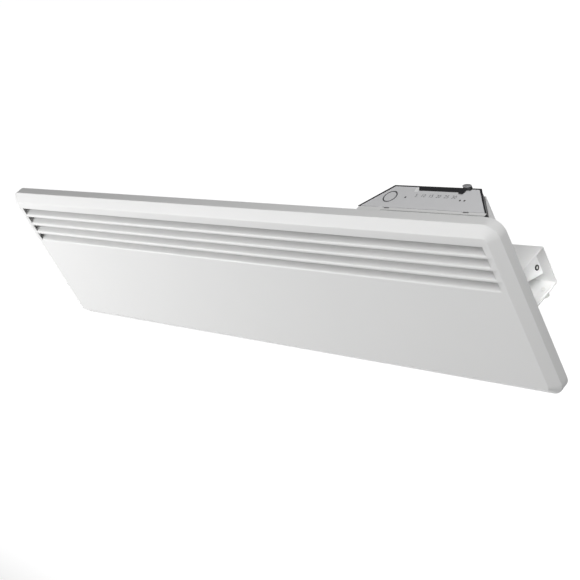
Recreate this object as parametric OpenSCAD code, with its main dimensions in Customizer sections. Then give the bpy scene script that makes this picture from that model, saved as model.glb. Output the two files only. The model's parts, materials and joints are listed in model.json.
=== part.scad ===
// Low wall panel convector heater, hung on a channel bracket.
// X runs along the wall, +Y points into the wall and +Z is up. The origin is the middle of
// the four wall screw holes, on the face of the bracket that lies against the wall.

/* [Front panel] */
// Width of the front panel
panel_w = 785; // [620:5:1200]
// Height of the front panel
panel_h = 200; // [195:5:300]
// Thickness of the panel's steel sheet
panel_t = 0.9; // [0.7:0.1:1.4]
// Depth of the folded edge, from the front face back
edge_depth = 18; // [15:1:24]
// How far the bevel runs in from the outer edge
bevel_in = 10.5; // [6:0.5:12]
// How far the bevel runs back from the front face
bevel_back = 7; // [4:0.5:10]
// Radius of the panel's outer corners
corner_r = 15; // [14:1:22]
// Width of the lip folded in behind the edge
lip_w = 14; // [13:0.5:20]

/* [Louvres] */
// Number of louvres
louvre_n = 4; // [1:1:5]
// From the panel's top edge down to the first cut
louvre_top = 19.7; // [17:0.1:26]
// Distance from one louvre to the next
louvre_pitch = 13.45; // [12:0.05:18]
// Height of the flat strip between two louvres
louvre_strip = 1.4; // [1:0.1:4]
// From the panel's side edge to the end of the louvres
louvre_side = 17.7; // [14:0.1:60]
// Angle of a blade above level
blade_rise = 50; // [20:1:55]
// Outer radius of the roll at a blade's foot
blade_roll = 3; // [1.5:0.1:3.5]
// Length of a blade behind its roll
blade_len = 9; // [4:0.5:10]

/* [Rear casing] */
// Thickness of the casing's steel sheet
casing_t = 0.8; // [0.6:0.1:1.2]
// From the panel's edge in to the foot of the casing's sloped sides
casing_in = 12; // [11:0.5:18]
// Depth of the casing behind the panel's folded edge
casing_depth = 30; // [26:1:34]
// Width of the rim that is screwed to the panel's lip
rim_w = 7; // [6.5:0.5:8]
// Length of an air inlet slot
inlet_len = 36; // [20:1:50]
// Width of an air inlet slot
inlet_w = 7; // [4:0.5:10]

/* [Wall bracket] */
// Distance from the wall to the panel's front face
wall_to_front = 90; // [82:1:110]
// From the panel's top edge down to the middle of the bracket
hang_down = 111.6; // [110.6:0.2:116]
// How far the bracket runs past the casing's back at each end
bracket_past = 1; // [0:0.5:4]
// Height of the bracket
bracket_h = 43.9; // [38:0.1:45]
// Thickness of the bracket's steel sheet
bracket_t = 1.2; // [1:0.1:1.8]
// From the bracket's end to a wall hole
wall_hole_in = 77.5; // [60:0.5:120]
// Distance between the wall holes up the bracket
wall_hole_dz = 22; // [14:1:24]
// Diameter of a wall hole
wall_hole_d = 5.5; // [4:0.5:7]
// Width of a hook
hook_w = 40; // [20:1:60]
// Height that the heater is lifted to come off its hooks
lift = 10; // [8:0.5:11]
// From the bracket's end to its folded end tab
end_tab_in = 12; // [11:0.5:20]
// How far an end tab reaches forward from the bracket's back
end_tab_reach = 23.3; // [16:0.1:30]
// Diameter of a lock screw's shank
lock_d = 4; // [3:0.5:4]
// Diameter of a lock screw's head
lock_head_d = 8; // [7:0.5:9]

/* [Control unit] */
// From the panel's right edge to the middle of the control unit
control_in = 97.5; // [97:0.5:120]
// Width of the control plate along its front edge
plate_w = 150.4; // [140:0.2:151]
// Depth of the control plate, front to rear
plate_d = 29.5; // [28:0.5:31]
// Slope of the control plate towards the front
plate_tilt = 4.5; // [0:0.5:6]
// Thickness of the control plate
plate_t = 2; // [1.5:0.1:2.5]
// From the panel's folded edge back to the control plate
plate_back = 5.5; // [5:0.5:6.5]
// Height of the steel box that holds the control unit
box_h = 80; // [76:1:81]
// How far the box's sides end below the panel's top edge
box_drop = 7; // [5:0.5:10]
// Depth of the plastic tub under the plate
tub_h = 41; // [36:1:44]
// Thickness of the tub's walls
tub_t = 1.5; // [1.2:0.1:2]
// Depth of the slider's slot in the plate
slot_d = 4.8; // [4.5:0.1:6]
// From the plate's right edge in to the slider, at its highest setting
slider_in = 15.6; // [14:0.2:20]
// Travel of the temperature slider
slider_travel = 50; // [30:1:54]
// Width of the slider's knob
knob_w = 10.6; // [8:0.2:14]
// Depth of the slider's knob
knob_d = 5.8; // [5:0.2:6.4]
// Height of the slider's knob
knob_h = 4.6; // [4.2:0.1:6]
// Diameter of the hole in the supply cable's grommet
cable_d = 9; // [6:0.5:11]

/* [Heating element] */
// Room left at each end of the finned element
element_in = 56; // [46:1:90]
// Radius over the element's fins
fin_r = 16; // [12:0.5:17]
// Thickness of a fin
fin_t = 1.4; // [1:0.1:2]
// Number of fins round the element
fin_n = 6; // [4:1:8]
// Number of lengths that the fins are cut into
fin_lengths = 10; // [6:1:14]
// Radius of the sheathed rod
rod_r = 3.2; // [2.5:0.1:4]
// Height of the element's axis above the casing's lower rear fold
element_up = 16; // [15:1:24]

/* [Hidden] */

$fn = 48;

// Cuts run past a face by this much, and joined walls run into each other by it.
over = 1;
// Gap between pieces that seat on each other.
seat = 0.1;
// Gap between pieces that slide past each other.
slip = 0.3;

// Colours.
white_paint = [0.93, 0.93, 0.92];
zinc = [0.75, 0.76, 0.78];
dark_plastic = [0.16, 0.16, 0.17];
plate_grey = [0.76, 0.76, 0.77];
knob_grey = [0.55, 0.55, 0.56];
alloy = [0.80, 0.81, 0.82];
ceramic = [0.90, 0.88, 0.82];
board_green = [0.12, 0.36, 0.22];

// Main planes and edges.
half_w = panel_w / 2;
front_y = -wall_to_front;
edge_y = front_y + edge_depth;
casing_y = edge_y + casing_depth;
panel_z1 = hang_down;
panel_z0 = panel_z1 - panel_h;
panel_mid_z = (panel_z0 + panel_z1) / 2;

// The bevel's angle from the front face, and what a parallel inner face loses at each fold.
bevel_angle = atan2(bevel_back, bevel_in);
bevel_in_inner = bevel_in - panel_t + panel_t * tan(bevel_angle / 2);
bevel_back_inner = bevel_back - panel_t + panel_t * tan((90 - bevel_angle) / 2);

// Louvres.
louvre_len = panel_w - 2 * louvre_side;
louvre_gap = louvre_pitch - louvre_strip;
blade_end_gap = 0.4;
// A blade's root reaches this share of the roll into it, so that the roll and the face are one sheet.
root_share = 0.15;
// Height of louvre i's foot, where its blade leaves the front face.
function louvre_foot(i) = panel_z1 - louvre_top - i * louvre_pitch - louvre_gap;

// Casing: half sizes at its foot, on the panel's edge, and at its back.
casing_slope_share = 0.8;
casing_foot_x = half_w - casing_in;
casing_foot_z = panel_h / 2 - casing_in;
casing_back_x = casing_foot_x - casing_slope_share * casing_depth;
casing_back_z = casing_foot_z - casing_slope_share * casing_depth;
// A sloped wall's thickness, measured along X or Z.
casing_wall = casing_t * sqrt(1 + pow(casing_slope_share, 2));
casing_z0 = panel_mid_z - casing_back_z;
casing_in_y = casing_y - casing_t;
// Height of the casing's inner floor at depth y.
function casing_floor(y) = panel_mid_z - casing_foot_z + casing_slope_share * (y - edge_y) + casing_wall;

// Air inlets.
inlet_rib = 16;
inlet_n = floor(2 * casing_back_x / (inlet_len + inlet_rib));
inlet_row_y = edge_y + casing_depth / 3;

// Control unit: its plan narrows towards the rear, and walls follow it at a distance of out.
control_x = half_w - control_in;
control_slope_share = 0.83;
control_slant = sqrt(1 + pow(control_slope_share, 2));
plate_y0 = edge_y + plate_back;
plate_y1 = plate_y0 + plate_d;
tub_out = 1.5;
lip_out = tub_out + 2 * seat;
box_out = 3.1;
function control_half(y, out) = plate_w / 2 - control_slope_share * (y - plate_y0) + control_slant * out;
// Height of the plate's sloped upper face at depth y.
function plate_top(y) = panel_z1 + (y - plate_y0) * tan(plate_tilt);
box_z0 = panel_z1 - box_h;
box_z1 = panel_z1 - box_drop;
box_y0 = edge_y + seat;
box_y1 = plate_y1 + box_out;
flange_z = panel_z1 - slip;
flange_half = plate_w / 2 + control_slant * tub_out;
notch_shares = [-0.55, 0.72];
notch_w = 7;
notch_d = 1.3;
ear_w = 12;
ear_h = 8;
small_screw_r = 1.4;
small_head_r = 2.4;
small_head_h = 1.6;
small_screw_len = 4;
ear_x = control_x - control_half(casing_y, box_out);
box_screw_places = [[ear_x - ear_w / 2, box_z0 + ear_h], [control_x, box_z0 - ear_h / 2]];

// Tub, plate and what is under it.
tub_z0 = panel_z1 - tub_h;
tub_ledge = 0.5;
tub_y0 = box_y0 + casing_t + slip;
post_r = 3;
post_inset_share = 0.7;
board_down = 21;
board_z1 = panel_z1 - board_down;
board_t = 1.6;
board_gap = 1.5;
lever_in = 3.5;
slider_y = plate_y1 - lever_in;
slider_x = control_x + control_half(slider_y, 0) - slider_in;
lever_side = 4;
lever_x = slider_x - lever_side;
lever_w = 4;
lever_t = 1.2;
pot_end = 7;
pot_d = 5;
pot_h = 7;
pot_t = 0.8;
slot_end = 0.5;
slot_slant = 3.4;
lamp_r = 1;
lamp_in = 38;
lamp_pitch = 5.2;
lamp_back = 14.1;
lamp_y = plate_y0 + lamp_back;
relay_size = [15, 11, 13];
relay_in = 38;
block_size = [30, 16, 14];
terminal_r = 2.4;
knob_z0 = plate_top(plate_y1 + tub_out) + slip;
knob_base = 3;
knob_neck_in = 0.9;
knob_round_share = 0.4;
knob_round = knob_round_share * knob_d;
pointer_t = 0.8;
pointer_reach = 7.6;
pointer_w = 4.8;
pointer_lean = 0.8;

// Grommets.
grommet_lip = 2.1;
grommet_ring = 2;
cable_side = 20;
cable_up = 16;
cable_x = control_x + cable_side;
cable_z = box_z0 + cable_up;
cable_neck_r = cable_d / 2 + grommet_ring;
cable_head_r = cable_neck_r + grommet_ring;
lead_side = 30;
lead_back = 9;
lead_x = control_x - lead_side;
lead_y = plate_y0 + lead_back;
lead_bore_r = 4.5;
lead_place_share = 0.4;
lead_place = lead_place_share * lead_bore_r;
lead_drop = 12;
lead_neck_r = lead_bore_r + grommet_ring;
lead_head_r = lead_neck_r + grommet_ring;
earth_side = 26;
earth_x = control_x + earth_side;
earth_y = lead_y;
earth_r = 2;

// Screws that hold the rim to the panel's lip. The upper right one stands clear of the control box.
rim_screw_r = 1.45;
rim_head_r = 2.8;
rim_head_h = 1.8;
rim_screw_len = 6;
rim_row_share = 0.72;
rim_side_share = 0.3;
rim_x = rim_row_share * casing_foot_x;
rim_mid_x = casing_foot_x + rim_w / 2;
rim_mid_z = casing_foot_z + rim_w / 2;
rim_clear_x = control_x - control_half(edge_y, box_out) - rim_w;
rim_screws = [
  for (x = [-1, 0, 1])
    [x * rim_x, panel_mid_z - rim_mid_z],
  for (x = [-rim_x, 0, min(rim_x, rim_clear_x)])
    [x, panel_mid_z + rim_mid_z],
  for (x = [-1, 1])
    [x * rim_mid_x, panel_mid_z - rim_side_share * casing_foot_z]
];

// Bracket.
bracket_half = casing_back_x + bracket_past;
bracket_z = bracket_h / 2;
flange_y = casing_y + 5 * seat;
hook_share = 0.25;
hook_x = 2 * hook_share * bracket_half;
hook_rise = lift - 2 * over;
hook_play = 1;
hook_back_y = casing_in_y - 4 * seat;
hook_slot_z1 = bracket_z + seat;
hook_slot_z0 = bracket_z - bracket_t - lift - hook_play;
end_tab_x = bracket_half - end_tab_in;
end_tab_z0 = -11.4;
end_tab_slant_share = 0.36;
end_tab_z1 = bracket_z - bracket_t - slip;
wall_hole_x = bracket_half - wall_hole_in;
bush_r = 2.9;
bush_y = -6.7;
bush_z = 0;
bush_neck_r = 2.4;
bush_bore_r = 1.5;
bush_lip = 1;

// Lock screws, and the feet that their tips stand in.
foot_t = 1;
foot_gap = 0.2;
foot_w = 8.5;
foot_len = 34;
foot_leg = 18;
foot_z = -bracket_z + bracket_t + foot_gap;
lock_x = bracket_half - (end_tab_in - bracket_past) / 2 - slip;
lock_y = -16;
lock_head_h = 6.5;
lock_dome_share = 0.75;
lock_tip = 2;
lock_slot_w = 1;
lock_slot_h = 1.2;
rivet_r = 1.2;
rivet_head_r = 2.2;
rivet_head_h = 0.8;
rivet_shares = [0.4, 0.8];
feet_rivet_places = [
  for (x = [-1, 1], share = rivet_shares)
    [x * lock_x, foot_z + share * foot_leg]
];

// Element.
element_back_share = 0.4;
element_y = edge_y + element_back_share * casing_depth;
element_z = casing_z0 + element_up;
element_half = casing_back_x - element_in;
tube_wall = 1.8;
tube_r = rod_r + tube_wall;
fin_cut = 3;
bush_len = 14;
element_bush_r = 6.5;
terminal_len = 10;
terminal_rod_r = 1.6;
hanger_t = 1;
hanger_room = 3;
hanger_foot = 12;
hanger_shares = [-0.86, 0.05, 0.86];
shield_t = 0.5;
shield_back = 10.5;
shield_y = front_y + shield_back;
shield_past = 10;
hanger_z0 = element_z - fin_r - hanger_room;
hanger_z1 = element_z + fin_r + hanger_room;

// Thermal cut-out and room sensor, on the inside of the casing's back.
cutout_share = 0.3;
cutout_x = cutout_share * half_w;
cutout_up = 14;
cutout_z = hanger_z1 + cutout_up;
cutout_r = 8;
cutout_h = 8;
cutout_plate_size = [34, 1, 14];
tag_size = [1, 4, 5];
tag_dx = 4;
sensor_in = 30;
sensor_up = 12;
sensor_x = casing_back_x - sensor_in;
sensor_z = casing_z0 + sensor_up;
sensor_r = 2;
sensor_len = 16;
clip_size = [12, 7, 10];
wire_r = 1.4;
thin_wire_r = 0.8;

// Draws a flat shape in X and Z, with thickness t from y0 towards the wall.
module upright(y0, t) {
  translate([0, y0 + t, 0])
    rotate([90, 0, 0])
      linear_extrude(height = t)
        children();
}

// Draws a flat shape in Y and Z, with length len from x0 along X.
module along_x(x0, len) {
  translate([x0, 0, 0])
    rotate([90, 0, 90])
      linear_extrude(height = len)
        children();
}

// Draws a flat shape in X and Y, from z0 up to z1.
module level(z0, z1) {
  translate([0, 0, z0])
    linear_extrude(height = z1 - z0)
      children();
}

// A block given by its lowest and highest corners.
module block(lo, hi) {
  translate(lo)
    cube(hi - lo);
}

// A block of the given size that stands on the middle of its lower face.
module stood_block(at, size) {
  translate(at - [size[0] / 2, size[1] / 2, 0])
    cube(size);
}

// Round bars along X, Y and Z.
module bar_x(x0, x1, y, z, r) {
  translate([x0, y, z])
    rotate([0, 90, 0])
      cylinder(h = x1 - x0, r = r);
}

module bar_y(x, y0, y1, z, r) {
  translate([x, y1, z])
    rotate([90, 0, 0])
      cylinder(h = y1 - y0, r = r);
}

module bar_z(x, y, z0, z1, r) {
  translate([x, y, z0])
    cylinder(h = z1 - z0, r = r);
}

// A wire of round section through the given points, with a small bead at each bend.
module wire(points, r) {
  for (i = [0 : len(points) - 2]) {
    step = points[i + 1] - points[i];
    translate(points[i])
      rotate([0, acos(step[2] / norm(step)), atan2(step[1], step[0])])
        cylinder(h = norm(step), r = r);
  }
  for (i = [1 : len(points) - 2])
    bar_z(points[i][0], points[i][1], points[i][2] - r - slip, points[i][2] + r + slip, r + slip);
}

// Does its children on the right, and mirrored on the left.
module both_sides() {
  for (side = [0, 1])
    mirror([side, 0, 0])
      children();
}

module round_rect(w, h, r) {
  square([w - 2 * r, h], center = true);
  square([w, h - 2 * r], center = true);
  for (x = [-1, 1], z = [-1, 1])
    translate([x * (w / 2 - r), z * (h / 2 - r)])
      circle(r);
}

// A screw with its head's seat at y, and its shank towards the front.
module pan_screw(x, y, z, shank_r, head_r, head_h, len) {
  bar_y(x, y - len, y, z, shank_r);
  bar_y(x, y, y + head_h / 2, z, head_r);
  translate([x, y + head_h / 2, z])
    rotate([-90, 0, 0])
      cylinder(h = head_h / 2, r1 = head_r, r2 = head_r / 2);
}

// A rounded block whose front edges and corners are bevelled, with its front face at y0.
module bevelled_block(y0, w, h, r, in_by, back_by, depth) {
  translate([0, 0, panel_mid_z]) {
    upright(y0 + back_by, depth - back_by)
      round_rect(w, h, r);
    level(-(h / 2 - r), h / 2 - r)
      polygon([[-(w / 2 - in_by), y0], [w / 2 - in_by, y0], [w / 2, y0 + back_by], [-w / 2, y0 + back_by]]);
    along_x(-(w / 2 - r), w - 2 * r)
      polygon([[y0, -(h / 2 - in_by)], [y0, h / 2 - in_by], [y0 + back_by, h / 2], [y0 + back_by, -h / 2]]);
    for (x = [-1, 1], z = [-1, 1])
      translate([x * (w / 2 - r), y0, z * (h / 2 - r)])
        rotate([-90, 0, 0])
          cylinder(h = back_by, r1 = r - in_by, r2 = r);
  }
}

// One blade's section, with its foot at the origin: a roll that runs into a slope.
module blade_section() {
  translate([blade_roll, 0]) {
    intersection() {
      difference() {
        circle(blade_roll);
        circle(blade_roll - panel_t);
      }
      translate([-2 * blade_roll, 0])
        square([2 * blade_roll, 2 * blade_roll]);
      rotate(blade_rise)
        translate([-2 * blade_roll, -2 * blade_roll])
          square([2 * blade_roll, 4 * blade_roll]);
    }
    rotate(blade_rise)
      translate([0, blade_roll - panel_t])
        square([blade_len, panel_t]);
  }
  translate([seat / 2, -panel_t])
    square([panel_t - seat / 2, panel_t + root_share * blade_roll]);
}

// Front panel: one folded sheet with a bevelled border and pressed louvres.
module front_panel() {
  color(white_paint) {
    difference() {
      bevelled_block(front_y, panel_w, panel_h, corner_r, bevel_in, bevel_back, edge_depth);
      bevelled_block(front_y + panel_t, panel_w - 2 * panel_t, panel_h - 2 * panel_t, corner_r - panel_t,
        bevel_in_inner, bevel_back_inner, edge_depth - 2 * panel_t);
      translate([0, 0, panel_mid_z])
        upright(edge_y - panel_t - over, panel_t + 2 * over)
          round_rect(panel_w - 2 * lip_w, panel_h - 2 * lip_w, corner_r / 2);
      for (i = [0 : louvre_n - 1])
        block([-louvre_len / 2, front_y - over, louvre_foot(i)],
          [louvre_len / 2, front_y + panel_t + over, louvre_foot(i) + louvre_gap]);
      for (p = rim_screws)
        bar_y(p[0], edge_y - 2 * panel_t, edge_y + over, p[1], rim_screw_r + seat / 2);
    }
    for (i = [0 : louvre_n - 1])
      translate([0, front_y, louvre_foot(i)])
        along_x(-louvre_len / 2 + blade_end_gap, louvre_len - 2 * blade_end_gap)
          blade_section();
  }
}

// The casing's sloped block from y0 to y1, with its sloped sides moved in by s.
module pan(y0, y1, s) {
  x0 = casing_foot_x - casing_slope_share * (y0 - edge_y) - s;
  x1 = casing_foot_x - casing_slope_share * (y1 - edge_y) - s;
  z0 = casing_foot_z - casing_slope_share * (y0 - edge_y) - s;
  z1 = casing_foot_z - casing_slope_share * (y1 - edge_y) - s;
  intersection() {
    level(panel_z0, panel_z1)
      polygon([[-x0, y0], [x0, y0], [x1, y1], [-x1, y1]]);
    along_x(-half_w, panel_w)
      translate([0, panel_mid_z])
        polygon([[y0, -z0], [y0, z0], [y1, z1], [y1, -z1]]);
  }
}

// The control unit's plan from y0 to y1, at a distance of out from the plate's edge.
module control_plan(y0, y1, out) {
  translate([control_x, 0])
    polygon([[-control_half(y0, out), y0], [control_half(y0, out), y0], [control_half(y1, out), y1],
      [-control_half(y1, out), y1]]);
}

// The space below the plate's upper face, lowered by drop.
module under_plate(drop, z0) {
  along_x(control_x - plate_w, 2 * plate_w)
    polygon([[edge_y, z0], [box_y1, z0], [box_y1, plate_top(box_y1) - drop],
      [edge_y, plate_top(edge_y) - drop]]);
}

// Rear casing: a pan with four sloped sides, with slots for the bracket's hooks.
module rear_casing() {
  color(white_paint)
    difference() {
      union() {
        difference() {
          pan(edge_y, casing_y, 0);
          pan(edge_y - over, casing_in_y, casing_wall);
        }
        difference() {
          translate([0, 0, panel_mid_z])
            upright(edge_y, casing_t)
              round_rect(2 * (casing_foot_x + rim_w), 2 * (casing_foot_z + rim_w), corner_r / 2);
          pan(edge_y - over, edge_y + casing_t + over, casing_wall);
        }
      }
      level(box_z0 - slip, panel_z1 + over)
        control_plan(edge_y - over, box_y1 + over, box_out + slip);
      for (x = [-1, 1])
        block([x * hook_x - hook_w / 2 - hook_play, casing_in_y - over, hook_slot_z0],
          [x * hook_x + hook_w / 2 + hook_play, casing_y + over, hook_slot_z1]);
      for (i = [0 : inlet_n - 1])
        stood_block([(i - (inlet_n - 1) / 2) * (inlet_len + inlet_rib), inlet_row_y, panel_z0],
          [inlet_len, inlet_w, casing_z0 - panel_z0]);
      for (p = rim_screws)
        bar_y(p[0], edge_y - over, edge_y + casing_t + over, p[1], rim_screw_r + seat);
      for (p = feet_rivet_places)
        bar_y(p[0], casing_in_y - over, casing_y + over, p[1], rivet_r + seat);
      for (p = box_screw_places)
        bar_y(p[0], casing_in_y - over, casing_y + over, p[1], small_screw_r + seat / 2);
    }
}

module casing_screws() {
  color(zinc)
    for (p = rim_screws)
      pan_screw(p[0], edge_y + casing_t, p[1], rim_screw_r, rim_head_r, rim_head_h, rim_screw_len);
}

// Wall bracket: a channel open to the front, with two hooks and two end tabs.
module wall_bracket() {
  color(white_paint)
    difference() {
      union() {
        block([-bracket_half, -bracket_t, -bracket_z], [bracket_half, 0, bracket_z]);
        for (z = [-bracket_z, bracket_z - bracket_t])
          block([-bracket_half, flange_y, z], [bracket_half, 0, z + bracket_t]);
        for (x = [-1, 1]) {
          block([x * hook_x - hook_w / 2, hook_back_y - bracket_t, bracket_z - bracket_t],
            [x * hook_x + hook_w / 2, flange_y + over, bracket_z]);
          block([x * hook_x - hook_w / 2, hook_back_y - bracket_t, bracket_z - bracket_t],
            [x * hook_x + hook_w / 2, hook_back_y, bracket_z + hook_rise]);
        }
        both_sides()
          along_x(end_tab_x - bracket_t, bracket_t)
            polygon([[0, end_tab_z0], [0, end_tab_z1], [-bracket_t - end_tab_reach, end_tab_z1],
              [-bracket_t - end_tab_reach, end_tab_z0 + end_tab_slant_share * end_tab_reach],
              [-bracket_t, end_tab_z0]]);
      }
      both_sides() {
        // The window that the end tab is cut and folded from.
        block([end_tab_x - bracket_t - end_tab_reach, -bracket_t - over, end_tab_z0],
          [end_tab_x - bracket_t, over, end_tab_z1]);
        bar_x(end_tab_x - bracket_t - over, end_tab_x + over, bush_y, bush_z, bush_neck_r + seat / 2);
        bar_z(lock_x, lock_y, -bracket_z - over, -bracket_z + bracket_t + over, lock_d / 2 + seat / 2);
        for (z = [-1, 1])
          bar_y(wall_hole_x, -bracket_t - over, over, z * wall_hole_dz / 2, wall_hole_d / 2);
      }
    }
}

module end_tab_bushes() {
  color(dark_plastic)
    both_sides()
      difference() {
        union() {
          bar_x(end_tab_x, end_tab_x + bush_lip, bush_y, bush_z, bush_r);
          bar_x(end_tab_x - bracket_t - bush_lip, end_tab_x + bush_lip / 2, bush_y, bush_z, bush_neck_r);
        }
        bar_x(end_tab_x - bracket_t - 2 * bush_lip, end_tab_x + 2 * bush_lip, bush_y, bush_z, bush_bore_r);
      }
}

// Lock screws: driven up through the lower flange, with their tips in the heater's feet.
module lock_screws() {
  dome_r = lock_dome_share * lock_head_d;
  color(zinc)
    both_sides()
      translate([lock_x, lock_y, -bracket_z])
        difference() {
          union() {
            cylinder(h = bracket_t + foot_gap + foot_t + lock_tip, r = lock_d / 2);
            intersection() {
              translate([0, 0, -lock_head_h])
                cylinder(h = lock_head_h, r = lock_head_d / 2);
              translate([0, 0, dome_r - lock_head_h])
                sphere(r = dome_r);
            }
          }
          block([-lock_head_d, -lock_slot_w / 2, -lock_head_h - over],
            [lock_head_d, lock_slot_w / 2, -lock_head_h + lock_slot_h]);
        }
}

// Locking feet: angles riveted behind the casing, that lie over the bracket's lower flange.
module locking_feet() {
  color(white_paint)
    both_sides()
      difference() {
        union() {
          block([lock_x - foot_w / 2, casing_y, foot_z],
            [lock_x + foot_w / 2, casing_y + foot_len, foot_z + foot_t]);
          block([lock_x - foot_w / 2, casing_y, foot_z],
            [lock_x + foot_w / 2, casing_y + foot_t, foot_z + foot_leg]);
        }
        bar_z(lock_x, lock_y, foot_z - over, foot_z + foot_t + over, lock_d / 2 + slip);
        for (p = feet_rivet_places)
          bar_y(p[0], casing_y - over, casing_y + foot_t + over, p[1], rivet_r + seat);
      }
}

module feet_rivets() {
  color(zinc)
    for (p = feet_rivet_places) {
      bar_y(p[0], casing_in_y - rivet_head_h, casing_y + foot_t + rivet_head_h, p[1], rivet_r);
      bar_y(p[0], casing_y + foot_t, casing_y + foot_t + rivet_head_h, p[1], rivet_head_r);
      bar_y(p[0], casing_in_y - rivet_head_h, casing_in_y, p[1], rivet_head_r);
    }
}

// Control box: a steel box set into the casing's upper right, open at its top.
module control_box() {
  color(white_paint)
    difference() {
      union() {
        difference() {
          level(box_z0, box_z1)
            control_plan(box_y0, box_y1, box_out);
          level(box_z0 + casing_t, box_z1 + over)
            control_plan(box_y0 + casing_t, box_y1 - casing_t, box_out - casing_t);
        }
        level(box_z1 - casing_t, box_z1)
          difference() {
            control_plan(box_y0, box_y1, box_out);
            control_plan(box_y0 - over, plate_y1 + lip_out, lip_out);
          }
        level(box_z1 - over, flange_z)
          translate([control_x - flange_half, box_y0])
            square([2 * flange_half, casing_t]);
        level(flange_z - casing_t, flange_z)
          difference() {
            translate([control_x - flange_half, box_y0])
              square([2 * flange_half, plate_y0 - slip - box_y0]);
            for (share = notch_shares)
              translate([control_x + share * plate_w / 2, plate_y0 - slip])
                square([notch_w, 2 * notch_d], center = true);
          }
        block([ear_x - ear_w, casing_y, box_z0], [ear_x + over, casing_y + casing_t, box_z0 + 2 * ear_h]);
        block([control_x - ear_w / 2, casing_y, box_z0 - ear_h],
          [control_x + ear_w / 2, casing_y + casing_t, box_z0 + over / 2]);
      }
      for (p = box_screw_places)
        bar_y(p[0], casing_y - over, casing_y + casing_t + over, p[1], small_screw_r + seat);
      bar_y(cable_x, box_y1 - casing_t - over, box_y1 + over, cable_z, cable_neck_r + seat);
      bar_z(lead_x, lead_y, box_z0 - over, box_z0 + casing_t + over, lead_neck_r + seat);
      bar_z(earth_x, earth_y, box_z0 - over, box_z0 + casing_t + over, earth_r + seat);
    }
}

module box_screws() {
  color(zinc)
    for (p = box_screw_places)
      pan_screw(p[0], casing_y + casing_t, p[1], small_screw_r, small_head_r, small_head_h, small_screw_len);
}

// The tub's plan from y0 to y1 at a distance of out, with a greatest half width.
module tub_plan(y0, y1, out, half) {
  intersection() {
    control_plan(y0, y1, out);
    translate([control_x - half, y0])
      square([2 * half, y1 - y0]);
  }
}

// Control tub: the dark housing whose rim frames the control plate.
module control_tub() {
  color(dark_plastic)
    difference() {
      intersection() {
        level(tub_z0, panel_z1 + plate_d)
          tub_plan(tub_y0, plate_y1 + tub_out, tub_out, flange_half);
        under_plate(0, tub_z0);
      }
      level(tub_z0 + tub_t, panel_z1 + plate_d)
        tub_plan(tub_y0 + tub_t, plate_y1 - tub_ledge, -tub_ledge, flange_half - tub_t);
      difference() {
        level(board_z1, panel_z1 + plate_d)
          control_plan(edge_y, plate_y1 + seat, seat);
        under_plate(plate_t + seat, board_z1 - over);
      }
      level(flange_z - casing_t - seat, panel_z1 + over)
        control_plan(edge_y, plate_y0, tub_out + slip);
      bar_z(lead_x, lead_y, tub_z0 - over, tub_z0 + tub_t + over, lead_bore_r);
    }
  color(dark_plastic)
    for (p = board_posts)
      bar_z(p[0], p[1], tub_z0 + tub_t / 2, board_z1 - board_t, post_r);
}

// Posts under the circuit board's four corners.
board_posts = [
  for (x = [-1, 1], y = [tub_y0 + tub_t + post_r + board_gap, plate_y1 - tub_ledge - post_r - board_gap])
    [control_x + x * post_inset_share * control_half(y, 0), y]
];

// Control plate: printed face with the slider's slot and two lamp holes.
module control_plate() {
  slot_x0 = lever_x - slider_travel - lever_w / 2 - slot_end;
  slot_x1 = lever_x + lever_w / 2 + slot_end;
  color(plate_grey)
    difference() {
      intersection() {
        level(board_z1, panel_z1 + plate_d)
          control_plan(plate_y0, plate_y1, 0);
        difference() {
          under_plate(0, board_z1 - over);
          under_plate(plate_t, board_z1 - 2 * over);
        }
      }
      level(board_z1, panel_z1 + plate_d)
        polygon([[slot_x0, plate_y1 - slot_d], [slot_x1, plate_y1 - slot_d], [slot_x1, plate_y1 + over],
          [slot_x0 - slot_slant, plate_y1 + over]]);
      for (i = [0, 1])
        bar_z(control_x + lamp_in + i * lamp_pitch, lamp_y, board_z1, panel_z1 + plate_d, lamp_r + seat);
    }
}

module lamp_pipes() {
  color("white")
    for (i = [0, 1])
      bar_z(control_x + lamp_in + i * lamp_pitch, lamp_y, board_z1 + seat, plate_top(lamp_y), lamp_r);
}

module circuit_board() {
  color(board_green)
    level(board_z1 - board_t + seat, board_z1)
      control_plan(tub_y0 + tub_t + board_gap, plate_y1 - tub_ledge - board_gap / 2, -tub_ledge - board_gap);
}

// Slide potentiometer: a can with a long slot, which the carriage's foot runs in.
module slide_potentiometer() {
  x0 = lever_x - slider_travel - pot_end;
  x1 = lever_x + pot_end;
  color(zinc)
    difference() {
      block([x0, slider_y - pot_d / 2, board_z1 + seat], [x1, slider_y + pot_d / 2, board_z1 + seat + pot_h]);
      block([x0 + pot_t, slider_y - pot_d / 2 + pot_t, board_z1 + seat + pot_t],
        [x1 - pot_t, slider_y + pot_d / 2 - pot_t, board_z1 + seat + pot_h - pot_t]);
      block([x0 + 2 * pot_t, slider_y - lever_t / 2 - slip, board_z1 + seat + pot_h / 2],
        [x1 - 2 * pot_t, slider_y + lever_t / 2 + slip, board_z1 + seat + pot_h + over]);
    }
}

module power_relay() {
  color("royalblue")
    stood_block([control_x - relay_in, lamp_y, board_z1 + seat], relay_size);
}

module terminal_block() {
  at = [control_x, (box_y0 + box_y1) / 2, box_z0 + casing_t + seat];
  color(ceramic)
    difference() {
      stood_block(at, block_size);
      for (x = [-1, 0, 1])
        bar_z(at[0] + x * block_size[0] / 3, at[1], at[2] + block_size[2] / 2, at[2] + block_size[2] + over,
          terminal_r + seat);
    }
}

module terminal_screws() {
  at = [control_x, (box_y0 + box_y1) / 2, box_z0 + casing_t + seat];
  color("goldenrod")
    for (x = [-1, 0, 1])
      bar_z(at[0] + x * block_size[0] / 3, at[1], at[2] + block_size[2] / 2, at[2] + block_size[2] - over,
        terminal_r);
}

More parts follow.
